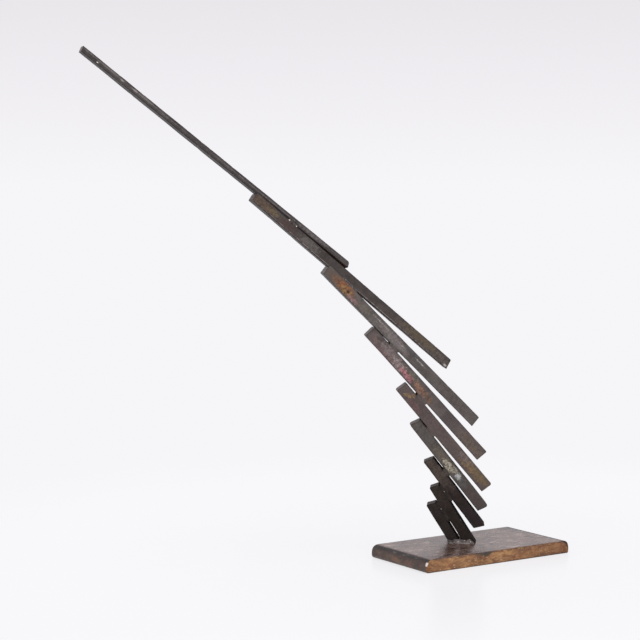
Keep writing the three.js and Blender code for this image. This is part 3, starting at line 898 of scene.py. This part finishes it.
def plate_long_side(finish, spot, crust, cloud, grain, blotch):
    """Colour of the long sides: brown and gold rust with pale flecks and red blotches, greyer to the right,
    darker along the top edge, the foot and the right end's curl, with one dark stain below the foot weld.
    Round the curl, the sum of the roots of both distances from the corner, over the curl's reach, is 1."""
    along, _, up = finish.split(spot)
    stops = [(0.34, srgb(54, 34, 25)), (0.42, srgb(106, 69, 44)),
             (0.51, srgb(148, 104, 64)), (0.62, srgb(196, 152, 102))]
    level = crust * 0.6 + cloud * 0.25 + grain * 0.15
    colour = finish.node("ShaderNodeValToRGB", {"stops": stops}, {"Fac": level})
    fleck = finish.cells(finish.stretch(spot, (0.35, 1.0, 1.0)), 430.0)
    fleck = fleck + (grain - 0.5) * 1.3 + (crust - 0.5) * 0.8
    colour = finish.mix(finish.ease(fleck, 0.26, 0.06) * 0.65, colour, srgb(208, 172, 124))
    colour = finish.mix(finish.ease(blotch, 0.52, 0.68) * 0.5, colour, srgb(140, 82, 48))
    rightward = finish.ease(along + (cloud - 0.5) * (80 * MM), 0.0, 70 * MM)
    colour = finish.mix(rightward * 0.9, colour, srgb(212, 198, 196), "MULTIPLY")
    top_edge = finish.ease(up + (blotch - 0.5) * (8 * MM), 11.8 * MM, 14.6 * MM)
    colour = finish.mix(top_edge * 0.6, colour, srgb(74, 54, 40))
    foot_edge = finish.ease(up + (grain - 0.5) * (2 * MM), 2.0 * MM, 0.6 * MM)
    colour = finish.mix(foot_edge * 0.7, colour, srgb(58, 40, 32))
    inward = ((PLATE_LENGTH / 2 + PLATE_SHIFT) * MM - along).at_least(0.0)
    below = (PLATE_THICKNESS * MM - up).at_least(0.0)
    curl = PLATE_RIGHT_ROUNDS[0] * MM
    corner = (inward / curl) ** 0.5 + (below / curl) ** 0.5
    shade = finish.ease(corner + (blotch - 0.5) * 0.2, 1.52, 1.30)
    colour = finish.mix(shade * 0.85, colour, srgb(40, 31, 27))
    stain = finish.blot((along, -21.0, 13.0), (up, PLATE_THICKNESS, 5.6)) + (blotch - 0.5) * 1.6
    return finish.mix(finish.ease(stain, 0.0, 0.7) * 0.9, colour, srgb(54, 49, 42))


def plate_short_end(finish, spot, grain, blotch):
    """Colour of the short ends: a nearly black rolled band with a painted grey sheen, and a rust-marked
    brown face.
    """
    _, across, up = finish.split(spot)
    tone = finish.ease(blotch * 0.6 + grain * 0.4, 0.40, 0.62)
    face = finish.mix(tone, srgb(62, 48, 41), srgb(96, 77, 67))
    marks = [(4.0, 11.0, 0.8, srgb(114, 84, 66)), (-18.0, 13.0, 0.6, srgb(104, 70, 62))]
    for y, reach, strength, rust in marks:
        inside = finish.blot((across, y, reach), (up, 5.5, 3.8)) + (blotch - 0.5) * 2.0
        face = finish.mix(finish.ease(inside, 0.0, 0.8) * strength, face, rust)
    band = finish.mix(tone, srgb(32, 27, 25), srgb(56, 48, 45))
    # Painted sheen: pale grey runs on the rolled band
    sheen = finish.ease(finish.noise(finish.stretch(spot, (1.0, 0.35, 1.0)), 190.0, 3.0, 0.6), 0.57, 0.66)
    band = finish.mix(sheen * 0.6, band, srgb(112, 105, 103))
    low_part = finish.ease(up + (blotch - 0.5) * (10 * MM), 12.8 * MM, 10.0 * MM)
    return finish.mix(low_part, band, face)


def plate_finish():
    """Plate: the colours of its top, long sides and short ends, blended at its edges, with bare metal where
    the corner is chipped; satin on top and rough on the long sides."""
    finish = Finish("plate_rusty_steel")
    spot = finish.node("ShaderNodeTexCoord", out="Object")
    along, across, up = finish.split(spot)
    cloud = finish.noise(spot, 34.0, 5.0, 0.62, 0.5)
    streak = finish.noise(finish.stretch(spot, (0.22, 1.0, 1.0)), 240.0, 5.0, 0.62, 0.6)
    wiggle = finish.noise(finish.stretch(spot, (0.55, 1.0, 1.0)), 125.0, 5.0, 0.62, 1.4)
    crust = finish.noise(finish.stretch(spot, (0.3, 1.0, 1.0)), 190.0, 6.0, 0.70, 0.6)
    grain = finish.noise(spot, 900.0, 3.0, 0.6)
    blotch = finish.noise(spot, 120.0, 5.0, 0.66, 0.8)

    # The dark rolled ends begin and are full at these distances from a middle a little left of the plate's
    rolled_middle, rolled_start, rolled_full = PLATE_SHIFT - 1.2, 91.2, 93.6
    far_along = abs(along - rolled_middle * MM)
    rolled = finish.ease(far_along + (blotch - 0.5) * (2 * MM), rolled_start * MM, rolled_full * MM)
    wall = finish.ease(abs(across), (PLATE_WIDTH / 2 - 0.6) * MM, (PLATE_WIDTH / 2 - 0.2) * MM)
    colour = plate_top(finish, cloud, streak, wiggle)
    colour = finish.mix(rolled, colour, plate_short_end(finish, spot, grain, blotch))
    colour = finish.mix(wall, colour, plate_long_side(finish, spot, crust, cloud, grain, blotch))
    chip = finish.blot((along, CHIP[0], 2.7), (across, CHIP[1], 2.7), (up, CHIP[2], 3.0))
    colour = finish.mix(finish.ease(chip + (grain - 0.5) * 1.4, 0.0, 0.35), colour, srgb(222, 214, 206))

    roughness = 0.17 + streak * 0.16 + wall * 0.42 + rolled * 0.25 + grain * 0.06
    height = grain * (0.3 + wall * 0.5) + crust * wall * 1.6 + (streak * 0.5 + wiggle * 0.6) * (1.0 - wall)
    normal = finish.bump(height, 0.6 * MM, 0.4)
    return finish.close(colour, roughness, 0.30 - wall * 0.2, normal, specular=0.6)


# Pieces
def dress(piece, material, node):
    """Gives a piece its finish, hangs it on the root body and hides the solid it stands for."""
    piece.data.materials.append(material)
    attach(piece, "root")
    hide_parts(node)


dress(plate_surface(), plate_finish(), "base_plate")
for i, entry in enumerate(BARS):
    dress(bar_surface(i), bar_finish(i), entry["name"])
for weld_name, lower, start_at, stop_at, more_behind in SEAMS:
    seam = seam_surface(weld_name, lower, start_at, stop_at, more_behind)
    dress(seam, seam_finish(weld_name, lower), weld_name)
for weld_name, lower, start_at, stop_at, wide_as, proud_by, droplets in BEADS:
    bead = bead_surface(weld_name, lower, start_at, stop_at, wide_as, proud_by)
    dress(bead, seam_finish(weld_name, lower, droplets), weld_name)
dress(foot_surface(), foot_finish(), "foot_weld")

# Backdrop: white at the height of the eye, greyer overhead
BACKDROP = srgb(246, 245, 248)
BACKDROP_STOPS = [(0.0, BACKDROP), (0.1, srgb(234, 231, 235)), (0.3, srgb(230, 227, 231))]

# Floor: a wide pale sheet just under the plate, slightly glossy near it and fading into the backdrop's white
FLOOR_REACH = 6000.0
FLOOR_SQUARES = 24
FLOOR_DROP = 0.05
FLOOR_GLOW = 0.74


def floor_surface():
    """Level square grid."""
    line = np.linspace(-FLOOR_REACH, FLOOR_REACH, FLOOR_SQUARES + 1)
    x, y = np.meshgrid(line, line, indexing="ij")
    points = np.stack([x, y, 0 * x - FLOOR_DROP], -1).reshape(-1, 3) * MM
    square = np.arange(FLOOR_SQUARES)
    corner = (square[:, None] * len(line) + square).ravel()
    quads = np.stack([corner, corner + len(line), corner + len(line) + 1, corner + 1], -1)
    mesh = bpy.data.meshes.new("floor")
    mesh.from_pydata(points.tolist(), [], quads.tolist())
    sheet = bpy.data.objects.new("floor", mesh)
    bpy.context.scene.collection.objects.link(sheet)
    return sheet


def floor_finish():
    """White floor: most of its light is its own, which keeps shadows faint; near the plate the rest comes
    from the lamps, and with distance all round it turns into the backdrop's white."""
    finish = Finish("floor_white")
    spot = finish.node("ShaderNodeTexCoord", out="Object")
    haze = finish.noise(spot, 3.0, 2.0, 0.5)
    x, y, _ = finish.split(spot)
    distance = (x * x + y * y) ** 0.5
    glow_colour = finish.mix(finish.ease(distance + haze * 0.05, 0.3, 0.9), srgb(250, 250, 252), BACKDROP)
    sheet = finish.node("ShaderNodeBsdfPrincipled", sockets={
        "Base Color": finish.mix(haze, srgb(236, 236, 238), srgb(240, 240, 242)),
        "Roughness": 0.2, "Specular IOR Level": 0.4})
    glow = finish.node("ShaderNodeEmission", sockets={"Color": glow_colour, "Strength": 1.0})
    share = FLOOR_GLOW + finish.ease(distance, 0.15, 0.6) * (1.0 - FLOOR_GLOW)
    finish.send_out(finish.node("ShaderNodeMixShader", sockets={0: share, 1: sheet, 2: glow}))
    return finish.material


floor = floor_surface()
floor.data.materials.append(floor_finish())

# Light: an even white room, a wide soft lamp above and in front, and a fill from the left.
# Each lamp has its place, the point it is aimed at, its width and its power in watts.
LAMPS = [
    ("lamp_above", (0.5, -0.7, 2.2), (0.0, 0.0, 0.2), 1.6, 14.0),
    ("lamp_left", (-2.0, -1.2, 1.0), (0.0, 0.0, 0.25), 1.4, 6.0),
]
scene = bpy.context.scene
scene.view_settings.view_transform = "Standard"
scene.view_settings.look = "None"
scene.world = bpy.data.worlds.new("white_room")
room = Finish("white_room", scene.world)
sky_height = room.split(room.node("ShaderNodeTexCoord", out="Generated"))[2]
sky = room.node("ShaderNodeValToRGB", {"stops": BACKDROP_STOPS}, {"Fac": sky_height})
backdrop = room.node("ShaderNodeBackground", sockets={"Color": sky, "Strength": 1.0})
room.send_out(backdrop, "ShaderNodeOutputWorld")


def soft_lamp(name, position, aim, width, power):
    """Round area lamp turned from its place towards a point."""
    lamp = bpy.data.lights.new(name, "AREA")
    lamp.shape = "DISK"
    lamp.size = width
    lamp.energy = power
    holder = bpy.data.objects.new(name, lamp)
    holder.location = position
    x, y, z = np.array(aim) - np.array(position)
    holder.rotation_euler = (math.atan2(math.hypot(x, y), -z), 0.0, math.atan2(-x, y))
    scene.collection.objects.link(holder)


for lamp_entry in LAMPS:
    soft_lamp(*lamp_entry)

# Camera
camera = bpy.data.cameras.new("camera")
camera.sensor_fit = "HORIZONTAL"
camera.angle = 2 * math.atan(HALF_IMAGE / FOCAL_PIXELS)
camera.clip_end = CAMERA_SIGHT
viewer = bpy.data.objects.new("camera", camera)
viewer.location = CAMERA_AT
viewer.rotation_euler = (math.radians(90 - CAMERA_DOWN), 0.0, math.radians(-CAMERA_TURN))
scene.collection.objects.link(viewer)
scene.camera = viewer

bpy.context.view_layer.update()
